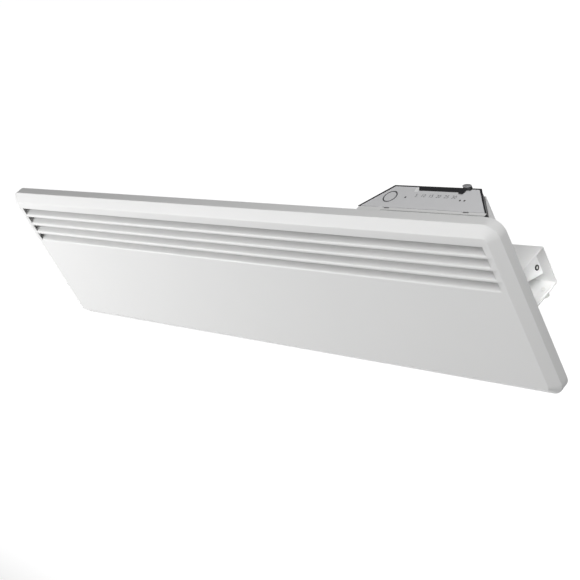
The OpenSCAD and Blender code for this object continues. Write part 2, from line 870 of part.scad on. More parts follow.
module cable_grommet() {
  color(dark_plastic)
    difference() {
      union() {
        bar_y(cable_x, box_y1, box_y1 + grommet_lip, cable_z, cable_head_r);
        bar_y(cable_x, box_y1 - casing_t - grommet_lip, box_y1 - casing_t, cable_z, cable_head_r);
        bar_y(cable_x, box_y1 - casing_t - over, box_y1 + over, cable_z, cable_neck_r);
      }
      bar_y(cable_x, box_y1 - casing_t - grommet_lip - over, box_y1 + grommet_lip + over, cable_z,
        cable_d / 2);
    }
}

module lead_grommet() {
  color(dark_plastic)
    difference() {
      union() {
        bar_z(lead_x, lead_y, box_z0 - grommet_lip, box_z0, lead_head_r);
        bar_z(lead_x, lead_y, box_z0 + casing_t, box_z0 + casing_t + grommet_lip, lead_head_r);
        bar_z(lead_x, lead_y, box_z0 - over, box_z0 + casing_t + over, lead_neck_r);
      }
      bar_z(lead_x, lead_y, box_z0 - grommet_lip - over, box_z0 + casing_t + grommet_lip + over, lead_bore_r);
    }
}

module earth_screw() {
  color("gold") {
    bar_z(earth_x, earth_y, box_z0 - 2 * small_head_h, box_z0 + casing_t + small_head_h, earth_r);
    bar_z(earth_x, earth_y, box_z0 + casing_t, box_z0 + casing_t + small_head_h, 2 * earth_r);
  }
}

// Heating element: cast fins round a sheathed rod, cut into lengths so that they can grow.
module element_fins() {
  step = 2 * element_half / fin_lengths;
  color(alloy)
    difference() {
      along_x(-element_half, 2 * element_half)
        translate([element_y, element_z])
          difference() {
            union() {
              circle(tube_r);
              for (i = [0 : fin_n - 1])
                rotate(i * 360 / fin_n)
                  translate([0, -fin_t / 2])
                    square([fin_r, fin_t]);
            }
            circle(rod_r + seat / 2);
          }
      for (i = [1 : fin_lengths - 1])
        difference() {
          bar_x(-element_half + i * step - fin_cut / 2, -element_half + i * step + fin_cut / 2, element_y,
            element_z,
            fin_r + over);
          bar_x(-element_half + i * step - fin_cut, -element_half + i * step + fin_cut, element_y,
            element_z, tube_r);
        }
    }
}

module element_rod() {
  color(zinc) {
    bar_x(-element_half - bush_len, element_half + bush_len, element_y, element_z, rod_r);
    bar_x(-element_half - bush_len - terminal_len, element_half + bush_len + terminal_len, element_y,
      element_z,
      terminal_rod_r);
  }
}

module element_bushes() {
  color(ceramic)
    both_sides()
      difference() {
        bar_x(element_half + seat, element_half + bush_len, element_y, element_z, element_bush_r);
        bar_x(element_half - over, element_half + bush_len + over, element_y, element_z, rod_r + seat / 2);
      }
}

// Hangers: plates across the casing whose round holes carry the fins.
module element_hangers() {
  back_y = casing_in_y - seat;
  fold_y = back_y - hanger_t;
  low_y = min(fold_y, edge_y + (hanger_z0 - slip - casing_floor(edge_y)) / casing_slope_share);
  low_z = max(hanger_z0, casing_floor(fold_y) + slip);
  foot_z0 = casing_floor(back_y) + slip;
  color(zinc)
    for (share = hanger_shares)
      difference() {
        union() {
          along_x(share * element_half - hanger_t / 2, hanger_t)
            polygon([[shield_y + seat, hanger_z0], [low_y, hanger_z0], [fold_y, low_z], [fold_y, hanger_z1],
              [shield_y + seat, hanger_z1]]);
          block([share * element_half - hanger_t / 2, fold_y - over / 2, foot_z0],
            [share * element_half + hanger_foot, back_y, hanger_z1]);
        }
        bar_x(share * element_half - hanger_foot, share * element_half + 2 * hanger_foot, element_y,
          element_z,
          fin_r + seat);
      }
}

module heat_shield() {
  shield_half = max(hanger_shares) * element_half + shield_past;
  color(alloy)
    block([-shield_half, shield_y - shield_t, hanger_z0], [shield_half, shield_y, hanger_z1 + shield_past]);
}

// Thermal cut-out: a disc on a plate behind the element, with two push-on tags.
module thermal_cutout() {
  y1 = casing_in_y - cutout_plate_size[1] - 2 * seat;
  color(dark_plastic)
    bar_y(cutout_x, y1 - cutout_h, y1, cutout_z, cutout_r);
  color(zinc)
    for (x = [-1, 1])
      block([cutout_x + x * tag_dx - tag_size[0] / 2, y1 - cutout_h - tag_size[1],
        cutout_z - tag_size[2] / 2],
        [cutout_x + x * tag_dx + tag_size[0] / 2, y1 - cutout_h, cutout_z + tag_size[2] / 2]);
}

module cutout_plate() {
  color(zinc)
    block([cutout_x - cutout_plate_size[0] / 2, casing_in_y - seat - cutout_plate_size[1],
      cutout_z - cutout_plate_size[2] / 2],
      [cutout_x + cutout_plate_size[0] / 2, casing_in_y - seat, cutout_z + cutout_plate_size[2] / 2]);
}

// Room sensor: a small bulb in a clip just above the air inlets.
sensor_y = casing_in_y - seat - clip_size[1] / 2;

module room_sensor() {
  color(dark_plastic) {
    bar_x(sensor_x - sensor_len / 2, sensor_x + sensor_len / 2, sensor_y, sensor_z, sensor_r);
    wire([[sensor_x - sensor_len / 2 + over, sensor_y, sensor_z], [sensor_x - sensor_len, sensor_y, sensor_z],
      [sensor_x - sensor_len, lead_y, (sensor_z + box_z0) / 2],
      [lead_x + lead_place, lead_y - lead_place, box_z0 - 4 * grommet_lip],
      [lead_x + lead_place, lead_y - lead_place, box_z0 + 4 * grommet_lip]], thin_wire_r);
  }
}

module sensor_clip() {
  color("white")
    difference() {
      block([sensor_x - clip_size[0] / 2, sensor_y - clip_size[1] / 2, sensor_z - clip_size[2] / 2],
        [sensor_x + clip_size[0] / 2, sensor_y + clip_size[1] / 2, sensor_z + clip_size[2] / 2]);
      bar_x(sensor_x - sensor_len, sensor_x + sensor_len, sensor_y, sensor_z, sensor_r + seat / 2);
    }
}

// Leads from the element's two ends, through the cut-out, up to the control box.
module element_leads() {
  end_x = element_half + bush_len + terminal_len + seat;
  tag_y = casing_in_y - cutout_plate_size[1] - 2 * seat - cutout_h - tag_size[1] / 2;
  low_z = box_z0 - 3 * grommet_lip;
  top_z = box_z0 + 4 * grommet_lip;
  x0 = lead_x - lead_place;
  x1 = lead_x + lead_place;
  y0 = lead_y - lead_place;
  y1 = lead_y + lead_place;
  tag_x = tag_dx + tag_size[0] / 2 + seat;
  color("firebrick") {
    wire([[end_x, element_y, element_z], [end_x + 2 * over, element_y, element_z],
      [end_x + 2 * over, y1, box_z0 - lead_drop], [x1, y1, low_z], [x1, y1, top_z]], wire_r);
    wire([[-end_x, element_y, element_z], [-end_x - 2 * over, element_y, element_z],
      [-end_x - 2 * over, tag_y, cutout_z], [cutout_x - tag_x, tag_y, cutout_z]], wire_r);
    wire([[cutout_x + tag_x, tag_y, cutout_z], [x0 - cutout_r, tag_y, cutout_z],
      [x0, y0, low_z], [x0, y0, top_z]], wire_r);
  }
}

// Slider: a dark carriage with a neck and a pointer, and the grey domed knob on the neck.
module slider_carriage() {
  foot_z0 = board_z1 + seat + pot_t + slip;
  foot_z1 = board_z1 + seat + pot_h - pot_t - slip;
  foot_d = pot_d - 2 * pot_t - 2 * slip;
  color(dark_plastic) {
    block([lever_x - lever_w, slider_y - foot_d / 2, foot_z0],
      [lever_x + lever_w, slider_y + foot_d / 2, foot_z1]);
    block([lever_x - lever_w / 2, slider_y - lever_t / 2, foot_z0],
      [lever_x + lever_w / 2, slider_y + lever_t / 2, knob_z0 + pointer_t / 2]);
    level(knob_z0, knob_z0 + pointer_t)
      translate([lever_x, plate_y1])
        polygon([[-pointer_w / 2 - pointer_lean, 0], [-pointer_w / 2, -pointer_reach],
          [pointer_w / 2, -pointer_reach],
          [pointer_w / 2 + pointer_lean, 0]]);
    level(knob_z0, knob_z0 + knob_base)
      translate([slider_x, plate_y1])
        round_rect(knob_w - 2 * knob_neck_in, knob_d - 2 * knob_neck_in, knob_round - knob_neck_in);
  }
}

module slider_knob() {
  color(knob_grey)
    intersection() {
      level(knob_z0 + knob_base + seat, knob_z0 + knob_h)
        translate([slider_x, plate_y1])
          round_rect(knob_w, knob_d, knob_round);
      along_x(slider_x - knob_w, 2 * knob_w)
        translate([plate_y1, knob_z0 + knob_h - knob_d])
          circle(knob_d);
    }
}

wall_bracket();
end_tab_bushes();
lock_screws();
front_panel();
rear_casing();
casing_screws();
locking_feet();
feet_rivets();
control_box();
box_screws();
control_tub();
control_plate();
lamp_pipes();
circuit_board();
slide_potentiometer();
power_relay();
terminal_block();
terminal_screws();
cable_grommet();
lead_grommet();
earth_screw();
element_fins();
element_rod();
element_bushes();
element_hangers();
heat_shield();
thermal_cutout();
cutout_plate();
room_sensor();
sensor_clip();
element_leads();
slider_knob();
slider_carriage();
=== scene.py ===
# %% [markdown]
# # A wall panel heater, dressed for its portrait
# The solid model of the heater is loaded as a fixed frame: every piece already has its true size
# and place, in metres, with the front facing -Y, the wall at Y = 0 and +Z up. This lesson gives
# the pieces their looks. Where a solid is plainer than the real sheet metal or moulding, a new
# piece is modelled over it; where the solid is right, it only gets a material.

# %% Load the frame
import json
import math

import bmesh
import bpy
from mathutils import Matrix, Vector


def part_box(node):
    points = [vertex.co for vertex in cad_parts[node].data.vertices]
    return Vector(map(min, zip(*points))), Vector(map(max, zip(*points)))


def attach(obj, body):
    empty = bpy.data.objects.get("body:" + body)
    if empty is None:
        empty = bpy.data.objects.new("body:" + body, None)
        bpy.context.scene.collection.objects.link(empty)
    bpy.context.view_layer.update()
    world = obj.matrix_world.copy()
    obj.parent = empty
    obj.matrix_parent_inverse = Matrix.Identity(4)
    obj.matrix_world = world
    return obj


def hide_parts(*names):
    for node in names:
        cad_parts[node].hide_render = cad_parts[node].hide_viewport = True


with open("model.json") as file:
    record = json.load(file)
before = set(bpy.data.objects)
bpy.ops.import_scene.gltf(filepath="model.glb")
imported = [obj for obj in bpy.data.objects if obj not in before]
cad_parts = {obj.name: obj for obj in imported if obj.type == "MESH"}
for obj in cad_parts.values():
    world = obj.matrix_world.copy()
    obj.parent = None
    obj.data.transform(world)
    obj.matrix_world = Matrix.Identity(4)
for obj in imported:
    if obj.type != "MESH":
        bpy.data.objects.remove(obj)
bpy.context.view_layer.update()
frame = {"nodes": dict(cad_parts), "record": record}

MM = 0.001
nodes = frame["nodes"]

# %% [markdown]
# ## Camera
# The photograph was taken with a long lens from the upper right, quite near, so the heater's far
# end looks much smaller. The camera's place and its three axes were worked out from the corners
# of the panel. A camera in Blender looks along its own -Z, with +Y up in the picture, so the
# three axes go straight into the columns of its matrix.

# %% Camera
picture_right = Vector((0.68460085, 0.60293763, -0.4096192))
picture_down = Vector((0.09050618, -0.62791852, -0.77299868))
looking = Vector((-0.72327748, 0.49212248, -0.48444313))
place = Vector((1.088965, -0.776854, 0.684965))
sensor_mm, lens_mm = 36, 81

camera = bpy.data.objects.new("camera", bpy.data.cameras.new("camera"))
bpy.context.scene.collection.objects.link(camera)
axes = Matrix((picture_right, -picture_down, -looking)).transposed().to_4x4()
camera.matrix_world = Matrix.Translation(place) @ axes
camera.data.sensor_width = sensor_mm
camera.data.lens = lens_mm
bpy.context.scene.camera = camera
bpy.context.scene.view_settings.view_transform = "Standard"
print("camera at", place[:])

# %% [markdown]
# ## Shader maths
# Materials here are small sums: a noise times a strength, added to a base value. Written as
# nodes by hand they are long and hard to read, so one little class wraps a socket and lets
# plain Python operators add the Math nodes. Colours never go through a Math node, because it
# would turn them grey; they are mixed instead.

# %% The socket wrapper
class Value:
    """A socket of a material's nodes; +, - and * on it add Math nodes."""

    def __init__(self, tree, socket):
        self.tree = tree
        self.socket = socket

    def _math(self, operation, first, second):
        return self.tree.node("ShaderNodeMath", {"operation": operation}, {0: first, 1: second})

    def __add__(self, other):
        return self._math("ADD", self, other)

    def __sub__(self, other):
        return self._math("SUBTRACT", self, other)

    def __rsub__(self, other):
        return self._math("SUBTRACT", other, self)

    def __mul__(self, other):
        return self._math("MULTIPLY", self, other)

    __radd__ = __add__
    __rmul__ = __mul__

    def between(self, low, high, to_low=0.0, to_high=1.0):
        """Runs from to_low to to_high while the value runs from low to high."""
        return self.tree.node("ShaderNodeMapRange", {"clamp": True},
                              {"Value": self, "From Min": low, "From Max": high,
                               "To Min": to_low, "To Max": to_high})


print("socket wrapper ready")

# %% A material under construction
class Finish:
    """A material's nodes, and the principled shader at their end."""

    def __init__(self, name, color, roughness, metallic=0.0, **constants):
        self.color = (*color, 1)
        self.material = bpy.data.materials.new(name)
        self.material.use_nodes = True
        self.material.diffuse_color = self.color
        self.nodes = self.material.node_tree.nodes
        self.links = self.material.node_tree.links
        self.shader = self.nodes["Principled BSDF"]
        self.shader.inputs["Base Color"].default_value = self.color
        self.shader.inputs["Roughness"].default_value = roughness
        self.shader.inputs["Metallic"].default_value = metallic
        for key, value in constants.items():
            self.shader.inputs[key.replace("_", " ")].default_value = value
        self.place = self.node("ShaderNodeTexCoord", {}, {}, "Object")

    def node(self, kind, settings, sockets, out=0):
        """Adds a node, with its settings, and links or fills its sockets."""
        made = self.nodes.new(kind)
        for key, value in settings.items():
            setattr(made, key, value)
        for key, value in sockets.items():
            if isinstance(value, Value):
                self.links.new(value.socket, made.inputs[key])
            else:
                made.inputs[key].default_value = value
        return Value(self, made.outputs[out])

    def noise(self, scale, detail, stretch=(1, 1, 1)):
        """Noise with grains 1 / scale metres across, longer along an axis stretched below 1."""
        where = self.place
        if stretch != (1, 1, 1):
            where = self.node("ShaderNodeMapping", {}, {"Vector": where, "Scale": stretch})
        return self.node("ShaderNodeTexNoise", {},
                         {"Vector": where, "Scale": scale, "Detail": detail})

    def mix(self, factor, first, second):
        """The first colour where factor is 0, the second where it is 1."""
        return self.node("ShaderNodeMix", {"data_type": "RGBA"},
                         {0: factor, 6: first, 7: second}, 2)

    def axis(self, index):
        """One coordinate of the place: 0 for X, 1 for Y, 2 for Z."""
        apart = self.nodes.new("ShaderNodeSeparateXYZ")
        self.links.new(self.place.socket, apart.inputs[0])
        return Value(self, apart.outputs[index])

    def feed(self, name, value):
        self.links.new(value.socket, self.shader.inputs[name])

    def tint(self, factor, second):
        """Blends the base colour towards a second one where factor is high."""
        self.feed("Base Color", self.mix(factor, self.color, (*second, 1)))

    def bump(self, height, depth, strength):
        """Bump from a height of 0 to 1 that stands for this many metres."""
        self.feed("Normal", self.node("ShaderNodeBump", {}, {"Strength": strength,
                                                             "Distance": depth,
                                                             "Height": height}))


print("shader helpers ready")

# %% [markdown]
# ## Floor
# The heater hangs in the air, as a product picture shows it: the floor is a wide pale sheet
# well below it. Behind the heater and to its left it glows like a light table, so no hard shadow
# falls anywhere and the white there is clean. In front it stays dim, or the underside would be
# lit from below. Far out it glows a little on every side, which lights the heater's back.

# %% Floor
def link(name, mesh):
    piece = bpy.data.objects.new(name, mesh)
    bpy.context.scene.collection.objects.link(piece)
    return piece


floor_half, floor_drop, floor_glow = 30, 1.2, 0.95
floor_shape = bmesh.new()
bmesh.ops.create_grid(floor_shape, x_segments=1, y_segments=1, size=floor_half)
bmesh.ops.translate(floor_shape, verts=floor_shape.verts, vec=(0, 0, -floor_drop))
floor_mesh = bpy.data.meshes.new("floor")
floor_shape.to_mesh(floor_mesh)
floor_shape.free()
floor = link("floor", floor_mesh)

white, far_grey, near_dim = (1, 1, 1, 1), (0.5, 0.5, 0.5, 1), (0.03, 0.03, 0.03, 1)
pale = Finish("pale_floor", (0.75, 0.75, 0.75), 0.9)
pale.shader.inputs["Emission Strength"].default_value = floor_glow
east, north = pale.axis(0), pale.axis(1)
# Where each glow begins and where it is full: two places in metres, and a distance squared.
behind, leftward, away = (-0.5, 0.1), (0.6, -0.2), (4, 12)
behind_and_left = north.between(*behind) * east.between(*leftward)
far_out = (east * east + north * north).between(*away)
around = pale.mix(far_out, near_dim, far_grey)
pale.feed("Emission Color", pale.mix(behind_and_left, around, white))
floor_mesh.materials.append(pale.material)
print("floor", 2 * floor_half, "m wide,", floor_drop, "m below the heater")

# %% [markdown]
# ## Lights
# Two low lamps at the front and left light the face, two high ones at the right light the top
# and the right edges, and a weak low one lifts the right end. That makes the front fade gently
# from left to right, as in the photograph. A sixth, very small and narrow, only brightens the
# open end of the bracket. All are soft discs, so the shadows in the louvres have no hard edge.

# %% Lights
# Name, place, aim, width in metres, watts.
lamps = (
    ("left_close", (-0.85, -0.85, 0.18), (-0.35, -0.08, 0.05), 0.5, 5.3),
    ("middle_low", (-0.45, -1.5, 0.12), (-0.05, -0.08, 0.05), 0.8, 6.3),
    ("right_up", (0.9, -0.8, 1.2), (0.3, -0.05, 0.0), 0.8, 5.2),
    ("high_right", (1.2, -0.3, 1.8), (0.35, -0.03, 0.0), 1.2, 17.0),
    ("right_low", (1.9, -0.5, 0.1), (0.35, -0.03, 0.0), 0.8, 1.2),
    ("bracket_end", (0.44, -0.035, 0.055), (0.350, -0.016, -0.010), 0.03, 0.0041),
)
for name, at, towards, width, watts in lamps:
    lamp = bpy.data.lights.new(name, "AREA")
    lamp.shape = "DISK"
    lamp.size = width
    lamp.energy = watts
    holder = bpy.data.objects.new(name, lamp)
    bpy.context.scene.collection.objects.link(holder)
    holder.location = at
    aim = Vector(towards) - Vector(at)
    holder.rotation_euler = aim.to_track_quat("-Z", "Y").to_euler()

narrow, room_light = math.radians(36), 0.07
bracket_lamp = bpy.data.objects["bracket_end"]
bracket_lamp.data.spread = narrow
bracket_lamp.visible_camera = False

world = bpy.data.worlds.new("studio")
bpy.context.scene.world = world
world.use_nodes = True
world_light = world.node_tree.nodes["Background"].inputs
world_light["Color"].default_value = white
world_light["Strength"].default_value = room_light
print("lamps:", len(lamps))

# %% [markdown]
# ## Finishes
# White powder coat is paint that was melted on: satin, with a very shallow skin of ripples a
# millimetre or two across, and here and there a faint cloud in the white. The ripples are a
# bump, the clouds a slight tint, and the gloss wanders a little. Every other finish follows the
# same plan, with its own grain: bare metal has brush lines, moulded plastic a spark-eroded
# grit, rubber a coarser one.

# %% White powder coat
ripple_scale, ripple_depth, ripple_strength = 850, 0.00004, 0.55
cloud_scale, cloud_from, cloud_full, cloud_share = 9, 0.35, 0.75, 0.35
cloud_white = (0.82, 0.825, 0.82)
powder_rough, ripple_gloss, cloud_gloss, noise_middle = 0.41, 0.08, 0.06, 0.5
powder_white = Finish("powder_white", (0.86, 0.86, 0.855), 0.42, Specular_IOR_Level=0.42)
ripple = powder_white.noise(ripple_scale, detail=3)
cloud = powder_white.noise(cloud_scale, detail=3)
powder_white.bump(ripple, ripple_depth, ripple_strength)
powder_white.tint(cloud.between(cloud_from, cloud_full, 0, cloud_share), cloud_white)
wander = (ripple - noise_middle) * ripple_gloss + (cloud - noise_middle) * cloud_gloss
powder_white.feed("Roughness", powder_rough + wander)
powder = powder_white.material
print("powder coat ready")

# %% Metals
def metal(name, color, roughness, stretch, scale=260):
    """Bare metal: lines along the axes where stretch is small, and dull blotches."""
    line_depth, line_strength, line_gloss = 0.00003, 0.5, 0.2
    blotch_scale, blotch_from, blotch_full, blotch_gloss = 60, 0.35, 0.7, 0.12
    dull_share = 0.78
    finish = Finish(name, color, roughness, metallic=1.0)
    lines = finish.noise(scale, detail=4, stretch=stretch)
    blotch = finish.noise(blotch_scale, detail=3)
    finish.bump(lines, line_depth, line_strength)
    finish.tint(blotch.between(blotch_from, blotch_full), tuple(dull_share * c for c in color))
    wander = (lines - noise_middle) * line_gloss + (blotch - noise_middle) * blotch_gloss
    finish.feed("Roughness", roughness + wander)
    return finish.material


zinc_plate = metal("zinc_plate", (0.70, 0.71, 0.73), 0.36, (1, 1, 0.25))
alloy_dull = metal("alloy_dull", (0.76, 0.77, 0.78), 0.46, (0.06, 1, 1), 400)
turned_brass = metal("turned_brass", (0.80, 0.60, 0.28), 0.30, (1, 1, 4), 500)
rod_steel = metal("rod_steel", (0.44, 0.43, 0.42), 0.42, (0.1, 1, 1), 500)
print("metals ready")

# %% Plastics, rubber and ceramic
def moulded(name, color, roughness, grit=1400, depth=0.00002, fleck=0.9):
    """A moulded or printed surface: fine grit, and wide flecks a little darker."""
    grit_strength, grit_gloss = 0.6, 0.12
    fleck_scale, fleck_from, fleck_full, fleck_gloss = 40, 0.3, 0.75, 0.08
    finish = Finish(name, color, roughness)
    spark = finish.noise(grit, detail=2)
    wide = finish.noise(fleck_scale, detail=3)
    finish.bump(spark, depth, grit_strength)
    finish.tint(wide.between(fleck_from, fleck_full), tuple(fleck * c for c in color))
    wander = (spark - noise_middle) * grit_gloss + (wide - noise_middle) * fleck_gloss
    finish.feed("Roughness", roughness + wander)
    return finish.material


dark_moulding = moulded("dark_moulding", (0.028, 0.028, 0.031), 0.5)
plate_moulding = moulded("plate_moulding", (0.76, 0.76, 0.77), 0.42, 1800, 0.000015, 0.97)
knob_moulding = moulded("knob_moulding", (0.30, 0.30, 0.31), 0.45, 1500)
soft_rubber = moulded("soft_rubber", (0.03, 0.03, 0.032), 0.7, 900, 0.00004)
silicone_red = moulded("silicone_red", (0.38, 0.06, 0.045), 0.55, 1200, 0.00003)
board_green = moulded("board_green", (0.03, 0.17, 0.08), 0.35, 500, 0.00002, 0.8)
relay_blue = moulded("relay_blue", (0.03, 0.09, 0.36), 0.3)
nylon_white = moulded("nylon_white", (0.78, 0.78, 0.75), 0.4)
fired_ceramic = moulded("fired_ceramic", (0.80, 0.76, 0.68), 0.3, 300, 0.00004, 0.92)
clear_pipe = moulded("clear_pipe", (0.09, 0.085, 0.08), 0.15, 400, 0.000005)
ink_dark = moulded("ink_dark", (0.06, 0.06, 0.07), 0.6, 2500, 0.000004)
ink_soft = moulded("ink_soft", (0.22, 0.22, 0.23), 0.6, 2500, 0.000004)
# Grey for the painted shadow in the seam before the control box.
seam_shadow_grey = moulded("seam_shadow_grey", (0.36, 0.36, 0.36), 0.7, 900, 0.00001)
# Bright white for the painted highlight on the slot's slanted end.
slot_highlight_white = moulded("slot_highlight_white", (0.93, 0.93, 0.93), 0.35, 1800, 0.000005, 0.98)
print("materials:", len(bpy.data.materials))

# %% Give every solid its finish
finish_of = {
    "wall_bracket": powder, "front_panel": powder, "rear_casing": powder,
    "control_box": powder, "locking_feet": powder, "lock_screws": nylon_white,
    "end_tab_bushes": dark_moulding, "control_tub": dark_moulding,
    "slider_carriage": dark_moulding, "thermal_cutout": dark_moulding,
    "room_sensor": dark_moulding, "cable_grommet": soft_rubber, "lead_grommet": soft_rubber,
    "control_plate": plate_moulding, "slider_knob": knob_moulding, "lamp_pipes": clear_pipe,
    "circuit_board": board_green, "power_relay": relay_blue,
    "terminal_block": fired_ceramic, "element_bushes": fired_ceramic,
    "terminal_screws": turned_brass, "earth_screw": turned_brass,
    "element_fins": alloy_dull, "heat_shield": alloy_dull, "element_rod": rod_steel,
    "element_leads": silicone_red, "sensor_clip": nylon_white,
}
for name, solid in nodes.items():
    finish = finish_of.get(name, zinc_plate)
    if solid.data.materials:
        for index in range(len(solid.data.materials)):
            solid.data.materials[index] = finish
    else:
        solid.data.materials.append(finish)
print("finishes on", len(nodes), "solids")

# %% [markdown]
# ## Folded sheet: how the pieces get their soft edges
# A press brake never leaves a knife edge: each fold has an outer radius of a millimetre or two,
# and each cut edge is rounded by the paint. The solids have the true sizes but sharp folds. So
# a copy of a solid is merged into clean faces, its folds are rounded with a Bevel modifier that
# finds them by their angle, and the copy stands for the solid.

# %% Make a piece and round its edges
def unique(items):
    """A list without repeats, in the same order in every run."""
    return list(dict.fromkeys(items))


frame_body = {node: body for body, names in frame["record"]["behaviour"]["bodies"].items()
              for node in names}


def finished(name, shape, finish, body, *stands_for, smooth=True):
    """Turns a bmesh into a piece that rides on a body, and stands for the named solids."""
    mesh = bpy.data.meshes.new(name)
    for face in shape.faces:
        face.smooth = smooth
    shape.to_mesh(mesh)
    shape.free()
    mesh.materials.append(finish)
    piece = link(name, mesh)
    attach(piece, body)
    if stands_for:
        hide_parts(*stands_for)
    print(name, "faces:", len(mesh.polygons))
    return piece


def round_edges(piece, width, segments, angle):
    """Rounds every edge that is sharper than the angle, in degrees."""
    bevel = piece.modifiers.new("rounding", "BEVEL")
    bevel.limit_method = "ANGLE"
    bevel.angle_limit = math.radians(angle)
    bevel.width = width
    bevel.segments = segments
    return bevel


def shade_evenly(piece):
    """Keeps the shading of large flat faces flat beside rounded edges."""
    even = piece.modifiers.new("even_shading", "WEIGHTED_NORMAL")
    even.weight = 60
    even.keep_sharp = True


def rounded(piece, width, segments=2, angle=30):
    round_edges(piece, width, segments, angle)
    shade_evenly(piece)
    return piece


print("bodies:", sorted(set(frame_body.values())))

# %% Soften a copy of a solid
merge_within = 0.02 * MM
flat_within = math.radians(0.6)
fold_steps, least_fold, fold_near = 5, 20 * MM, 0.1 * MM


def merged_copy(node):
    """The solid's triangles as a bmesh of clean, flat faces."""
    shape = bmesh.new()
    shape.from_mesh(nodes[node].data)
    bmesh.ops.remove_doubles(shape, verts=shape.verts, dist=merge_within)
    bmesh.ops.dissolve_limit(shape, angle_limit=flat_within, verts=shape.verts,
                             edges=shape.edges, delimit={"NORMAL"})
    return shape


def softened(node, width, segments=2, angle=30):
    """A copy of a solid with rounded edges, which stands for it."""
    piece = finished(node + "_soft", merged_copy(node), finish_of.get(node, zinc_plate),
                     frame_body[node], node)
    return rounded(piece, width, segments, angle)


def softened_channel(node, width, segments, angle, folds):
    """A sheet with long folds and cut-outs. Each fold is a (y, z, radius)."""
    shape = merged_copy(node)
    for y, z, radius in folds:
        lines = [e for e in shape.edges if e.calc_length() > least_fold
                 and all(abs(v.co.y - y) < fold_near and abs(v.co.z - z) < fold_near
                         for v in e.verts)]
        bmesh.ops.bevel(shape, geom=lines, offset=radius, segments=fold_steps, affect="EDGES",
                        profile=0.5, material=-1, offset_type="OFFSET")
    bmesh.ops.triangulate(shape, faces=[f for f in shape.faces if len(f.verts) > 4])
    piece = finished(node + "_soft", shape, finish_of[node], frame_body[node], node)
    round_edges(piece, width, segments, angle).harden_normals = True
    return piece


print("softening ready")

# %% [markdown]
# ## Front panel
# On the real heater this is one sheet: louvres are lanced and rolled first, then the border is
# pressed to a bevel that keeps its width round the corners, and the edge and a lip are folded
# back. It could be carved from a block with booleans, but then every fold would be a knife edge.
# Growing it like the real sheet is easier: a slab with round corners, inset for the bevel, inset
# again at the back for the lip, slots cut with planes, lips spun round their roll, and at the
# end one thickness for the whole skin.

# %% Front panel: the pressed skin
low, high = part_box("front_panel")
panel_w, panel_h = high.x - low.x, high.z - low.z
front_y, edge_y, middle_z = low.y, high.y, (low.z + high.z) / 2
bevel_in, bevel_back = 10.5 * MM, 7 * MM
corner_radius, corner_steps, lip = 15 * MM, 10, 14 * MM
nearly_straight = 0.9

skin = bmesh.new()
bmesh.ops.create_cube(skin, size=1.0)
bmesh.ops.scale(skin, verts=skin.verts, vec=(panel_w, edge_y - front_y - bevel_back, panel_h))
bmesh.ops.translate(skin, verts=skin.verts,
                    vec=(0, (front_y + bevel_back + edge_y) / 2, middle_z))
corners = [e for e in skin.edges if e.verts[0].co.y != e.verts[1].co.y]
bmesh.ops.bevel(skin, geom=corners, offset=corner_radius, segments=corner_steps,
                affect="EDGES", profile=0.5, material=-1)
front = [f for f in skin.faces if f.normal.y < -nearly_straight]
bmesh.ops.inset_region(skin, faces=front, thickness=bevel_in, depth=bevel_back,
                       use_even_offset=True)
back = [f for f in skin.faces if f.normal.y > nearly_straight]
bmesh.ops.inset_region(skin, faces=back, thickness=lip, depth=0, use_even_offset=True)
bmesh.ops.delete(skin, geom=back, context="FACES")
print("skin:", len(skin.faces), "faces, deepest", min(v.co.y for v in skin.verts))

# %% Front panel: the slots
same_point, same_line, same_face, facing = 1e-6, 1e-5, 1e-4, 0.01
louvre_count, louvre_top, louvre_pitch = 4, 19.7 * MM, 13.45 * MM
louvre_gap, louvre_side = 12.05 * MM, 17.7 * MM
louvre_feet = [high.z - louvre_top - i * louvre_pitch - louvre_gap for i in range(louvre_count)]
louvre_half = panel_w / 2 - louvre_side


def front_part(keep=lambda centre: True):
    """The flat front's faces whose middle passes the test, with their edges and points."""
    faces = [f for f in skin.faces if abs(f.normal.y + 1) < facing
             and f.calc_center_median().y < front_y + same_face
             and keep(f.calc_center_median())]
    edges = unique(e for f in faces for e in f.edges)
    verts = unique(v for f in faces for v in f.verts)
    return faces + edges + verts


def in_a_slot(centre):
    return any(foot < centre.z < foot + louvre_gap for foot in louvre_feet)


for foot in louvre_feet:
    for z in (foot, foot + louvre_gap):
        bmesh.ops.bisect_plane(skin, geom=front_part(), dist=same_point, plane_co=(0, 0, z),
                               plane_no=(0, 0, 1))
for x in (-louvre_half, louvre_half):
    bmesh.ops.bisect_plane(skin, geom=front_part(in_a_slot), dist=same_point,
                           plane_co=(x, 0, 0), plane_no=(1, 0, 0))
holes = [g for g in front_part(lambda c: in_a_slot(c) and abs(c.x) < louvre_half)
         if isinstance(g, bmesh.types.BMFace)]
bmesh.ops.delete(skin, geom=holes, context="FACES")
print("slots cut:", len(holes))

# %% Front panel: the rolled blades
# A blade is rolled in at the slot's foot, rises to the rear and spreads a little at both ends.
roll, roll_steps = 3 * MM, 6
blade, rise, blade_spread = 10 * MM, math.radians(30), 6.6 * MM
for foot in louvre_feet:
    line = [e for e in skin.edges if e.is_boundary and e.calc_length() > louvre_half
            and all(abs(v.co.z - foot) < same_line and v.co.y < front_y + same_face
                    for v in e.verts)]
    rolled = bmesh.ops.spin(skin, geom=line, axis=(1, 0, 0), cent=(0, front_y + roll, foot),
                            dvec=(0, 0, 0), angle=-(math.pi / 2 - rise), steps=roll_steps,
                            use_merge=False)
    last = [g for g in rolled["geom_last"] if isinstance(g, bmesh.types.BMEdge)]
    tail = bmesh.ops.extrude_edge_only(skin, edges=last)
    moved = [g for g in tail["geom"] if isinstance(g, bmesh.types.BMVert)]
    bmesh.ops.translate(skin, verts=moved,
                        vec=(0, blade * math.cos(rise), blade * math.sin(rise)))
    bmesh.ops.scale(skin, verts=moved, vec=(1 + blade_spread / louvre_half, 1, 1))
